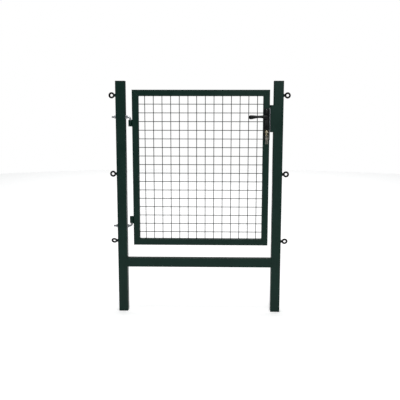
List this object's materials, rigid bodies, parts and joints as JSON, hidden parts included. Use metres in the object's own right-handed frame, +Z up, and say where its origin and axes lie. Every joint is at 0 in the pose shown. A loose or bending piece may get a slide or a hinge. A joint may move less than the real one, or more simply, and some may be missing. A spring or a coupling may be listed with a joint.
{
  "type": "garden gate",
  "caption": "Single garden gate: square-tube leaf with welded wire mesh, two posts with a sill, hook-bolt hinges, lever lock with cylinder, and eyes for fence wire.",
  "frame": {"origin": "on the plane of the post feet, midway between the two posts, in their middle plane", "axes": "+X across the gate from the hinge post to the latch post, +Y from the front to the back, +Z up"},
  "size_m": [1.154, 0.1211, 1.5],
  "materials": {
    "green_coat": "dark green powder coat, semi-gloss",
    "mesh_coat": "green coat over galvanised wire",
    "zinc": "bright zinc plate",
    "black_coat": "black coat, satin",
    "cap_plastic": "moulded, fine texture",
    "lever_black": "black moulded, satin gloss",
    "lock_steel": "galvanised sheet steel",
    "nickel": "satin nickel plate",
    "brass": "machined brass"
  },
  "bodies": {
    "portal": {"hinge_post": "green_coat", "latch_post": "green_coat", "sill_rail": "green_coat", "post_caps": "cap_plastic", "eye_upper_left": "black_coat", "eye_middle_left": "black_coat", "eye_lower_left": "black_coat", "eye_upper_right": "black_coat", "eye_middle_right": "black_coat", "eye_lower_right": "black_coat", "eye_nuts": "black_coat", "eye_inserts": "zinc", "hinge_bolt_upper": "zinc", "hinge_bolt_lower": "zinc", "hinge_nuts": "zinc", "hinge_washers": "zinc", "bearing_washer": "zinc", "keep": "green_coat", "strike_plate": "zinc", "strike_screws": "zinc"},
    "leaf": {"hinge_stile": "green_coat", "latch_stile": "green_coat", "top_rail": "green_coat", "bottom_rail": "green_coat", "mesh_vertical_wires": "mesh_coat", "mesh_horizontal_wires": "mesh_coat", "hinge_sleeve_upper": "green_coat", "hinge_sleeve_lower": "green_coat", "lock_case": "lock_steel", "lock_cover": "lock_steel", "lock_forend": "zinc", "forend_screws": "zinc", "front_plate": "lever_black", "back_plate": "lever_black", "plate_screws": "zinc", "cylinder_body": "brass", "rear_plug": "brass", "cylinder_screw": "zinc", "latch_spring": "zinc"},
    "levers": {"lever_front": "lever_black", "lever_back": "lever_black", "spindle": "lock_steel", "follower_hub": "lock_steel", "lever_set_screws": "zinc"},
    "latch": {"latch_bolt": "lock_steel"},
    "dead": {"dead_bolt": "lock_steel"},
    "key": {"key": "nickel", "cylinder_plug": "brass", "cam": "lock_steel"},
    "key_bunch": {"key_ring": "nickel", "spare_keys": "nickel"}
  },
  "joints": [
    {"name": "leaf_swing", "type": "hinge", "parent": "portal", "child": "leaf", "pos_m": [-0.44, 0, 0.945], "axis": [0, 0, -1], "range_deg": [0, 95]},
    {"name": "lever_turn", "type": "hinge", "parent": "leaf", "child": "levers", "pos_m": [0.425, 0, 1.275], "axis": [0, -1, 0], "range_deg": [0, 40], "stiffness_Nm_per_rad": 0.8, "springref_deg": -34.38},
    {"name": "latch_slide", "type": "slide", "parent": "leaf", "child": "latch", "axis": [-1, 0, 0], "range_m": [0, 0.009], "deforming": ["latch_spring"]},
    {"name": "key_turn", "type": "hinge", "parent": "leaf", "child": "key", "pos_m": [0.425, -0.03, 1.183], "axis": [0, 1, 0], "range_deg": [0, 90]},
    {"name": "dead_slide", "type": "slide", "parent": "leaf", "child": "dead", "axis": [1, 0, 0], "range_m": [0, 0.012]},
    {"name": "bunch_swing", "type": "hinge", "parent": "key", "child": "key_bunch", "pos_m": [0.425, -0.0575, 1.18105], "axis": [-1, 0, 0], "range_deg": [0, 60]}
  ],
  "couplings": [
    {"joint": "latch_slide", "follows": "lever_turn", "m_per_rad": 0.01289},
    {"joint": "dead_slide", "follows": "key_turn", "m_per_rad": 0.00763}
  ]
}
